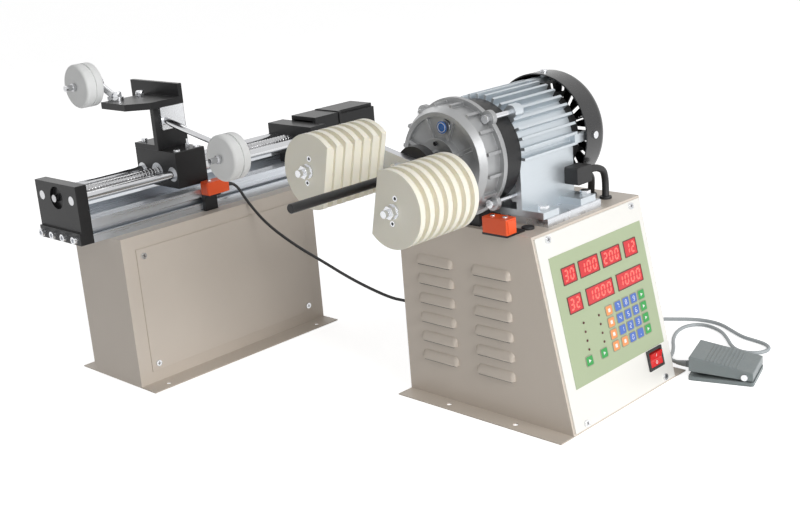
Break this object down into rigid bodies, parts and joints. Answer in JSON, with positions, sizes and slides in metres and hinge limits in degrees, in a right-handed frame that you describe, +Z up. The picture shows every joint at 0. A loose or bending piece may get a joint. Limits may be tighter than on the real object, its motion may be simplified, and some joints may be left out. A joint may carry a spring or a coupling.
{
  "type": "wire coil winding machine",
  "caption": "Bench coil winder: geared motor head with slotted nylon formers and keypad, separate traverse stand with wire guide, and a foot switch.",
  "frame": {"origin": "on the bench, under the middle of the winding head's cabinet", "axes": "+X along the spindle from the formers to the motor's tail, +Y from the operator's panel to the traverse stand, +Z up"},
  "size_m": [0.66, 0.8368, 0.4141],
  "materials": {
    "head_paint": "fine textured beige-cream paint",
    "panel_paint": "off-white paint",
    "zinc": "zinc-plated, satin",
    "steel": "machined, satin",
    "screw_steel": "bright plated",
    "ground_steel": "ground and chromed",
    "label": "printed polyester film, pale green",
    "led_red": "dark red window, glossy",
    "board": "laminate, green",
    "black_plastic": "black, slightly textured",
    "red_plastic": "red, translucent",
    "orange_plastic": "orange, moulded",
    "motor_alu": "sand cast, silver lacquer",
    "cast_alu": "die cast, dark silver",
    "stage_alu": "extruded, clear anodised",
    "black_metal": "satin black",
    "copper": "laminations and windings, varnished",
    "nylon": "ivory nylon, waxy",
    "white_nylon": "white nylon, slightly translucent",
    "grey_plastic": "hammer-finish grey",
    "rubber_black": "soft, matte",
    "lead_grey": "grey sheath, smooth"
  },
  "bodies": {
    "machine": {"head_cabinet": "head_paint", "head_base_plate": "zinc", "control_panel": "panel_paint", "housing_screws": "screw_steel", "keypad_overlay": "label", "led_displays": "led_red", "control_board": "board", "power_switch_housing": "black_plastic", "power_supply": "zinc", "rear_connectors": "black_plastic", "motor_base_plate": "zinc", "motor_fasteners": "screw_steel", "motor_housing": "motor_alu", "gear_ring": "black_metal", "gearbox_cover": "cast_alu", "stator": "copper", "motor_bearings": "steel", "rear_end_shield": "black_metal", "fan_cowl": "black_metal", "motor_leads": "rubber_black", "cable_grommets": "rubber_black", "proximity_sensors": "orange_plastic", "sensor_brackets": "black_metal", "stand_cabinet": "head_paint", "stand_side_panel": "head_paint", "stage_profile": "stage_alu", "bearing_blocks": "black_metal", "guide_rods": "ground_steel", "stepper_motor": "black_metal", "pedal_base": "grey_plastic", "pedal_pin": "steel", "pedal_spring": "steel", "lead_plugs": "black_plastic", "sensor_lead": "rubber_black", "pedal_lead": "lead_grey"},
    "rocker": {"power_switch_rocker": "red_plastic"},
    "motor_rotor": {"rotor": "steel", "cooling_fan": "black_plastic"},
    "planet_1": {"planet_gear_1": "steel"},
    "planet_2": {"planet_gear_2": "steel"},
    "planet_3": {"planet_gear_3": "steel"},
    "winding_spindle": {"spindle": "black_metal", "cross_arm": "steel", "mandrel_rod": "black_metal", "arm_screws": "screw_steel"},
    "rear_coil_former": {"rear_former": "nylon", "rear_former_bolt": "screw_steel"},
    "front_coil_former": {"front_former": "nylon", "front_former_bolt": "screw_steel"},
    "lead_screw": {"ball_screw": "ground_steel", "shaft_coupling": "motor_alu"},
    "guide_carriage": {"carriage": "black_metal", "carriage_bearings": "steel", "guide_post": "black_metal", "guide_arm": "black_metal", "arm_fasteners": "screw_steel", "roller_shafts": "steel"},
    "rear_roller": {"rear_guide_roller": "white_nylon"},
    "front_roller": {"front_guide_roller": "white_nylon"},
    "foot_treadle": {"pedal_treadle": "grey_plastic"}
  },
  "joints": [
    {"name": "spindle_spin", "type": "hinge", "parent": "machine", "child": "winding_spindle", "pos_m": [-0.174, 0.0205, 0.3115], "axis": [1, 0, 0], "continuous": true},
    {"name": "rotor_spin", "type": "hinge", "parent": "machine", "child": "motor_rotor", "pos_m": [-0.02, 0.0205, 0.3115], "axis": [1, 0, 0], "continuous": true},
    {"name": "planet_1_spin", "type": "hinge", "parent": "winding_spindle", "child": "planet_1", "pos_m": [-0.0865, 0.0502, 0.3115], "axis": [1, 0, 0], "continuous": true},
    {"name": "planet_2_spin", "type": "hinge", "parent": "winding_spindle", "child": "planet_2", "pos_m": [-0.0865, 0.00565, 0.33722], "axis": [1, 0, 0], "continuous": true},
    {"name": "planet_3_spin", "type": "hinge", "parent": "winding_spindle", "child": "planet_3", "pos_m": [-0.0865, 0.00565, 0.28578], "axis": [1, 0, 0], "continuous": true},
    {"name": "rear_former_slide", "type": "slide", "parent": "winding_spindle", "child": "rear_coil_former", "axis": [0, 0.9744, 0.225], "range_m": [-0.014, 0.014]},
    {"name": "front_former_slide", "type": "slide", "parent": "winding_spindle", "child": "front_coil_former", "axis": [0, -0.9744, -0.225], "range_m": [-0.014, 0.014]},
    {"name": "rocker_tilt", "type": "hinge", "parent": "machine", "child": "rocker", "pos_m": [0.0695, -0.12126, 0.0364], "axis": [1, 0, 0], "range_deg": [-18, 0]},
    {"name": "carriage_slide", "type": "slide", "parent": "machine", "child": "guide_carriage", "axis": [1, 0, 0], "range_m": [-0.1365, 0.181]},
    {"name": "lead_screw_spin", "type": "hinge", "parent": "machine", "child": "lead_screw", "pos_m": [-0.142, 0.4995, 0.2628], "axis": [1, 0, 0], "range_deg": [-4950, 6550]},
    {"name": "rear_roller_spin", "type": "hinge", "parent": "guide_carriage", "child": "rear_roller", "pos_m": [-0.233, 0.58704, 0.38407], "axis": [1, 0, 0], "continuous": true},
    {"name": "front_roller_spin", "type": "hinge", "parent": "guide_carriage", "child": "front_roller", "pos_m": [-0.199, 0.32744, 0.30177], "axis": [1, 0, 0], "continuous": true},
    {"name": "treadle_press", "type": "hinge", "parent": "machine", "child": "foot_treadle", "pos_m": [0.15722, -0.20066, 0.011], "axis": [-0.9537, -0.3007, 0], "range_deg": [0, 4], "stiffness_Nm_per_rad": 6, "springref_deg": -3.44, "deforming": ["pedal_spring"]}
  ],
  "couplings": [
    {"joint": "rotor_spin", "follows": "spindle_spin", "ratio": 5.5},
    {"joint": "planet_1_spin", "follows": "spindle_spin", "ratio": -2.5714},
    {"joint": "planet_2_spin", "follows": "spindle_spin", "ratio": -2.5714},
    {"joint": "planet_3_spin", "follows": "spindle_spin", "ratio": -2.5714},
    {"joint": "lead_screw_spin", "follows": "carriage_slide", "rad_per_m": 628.32}
  ]
}
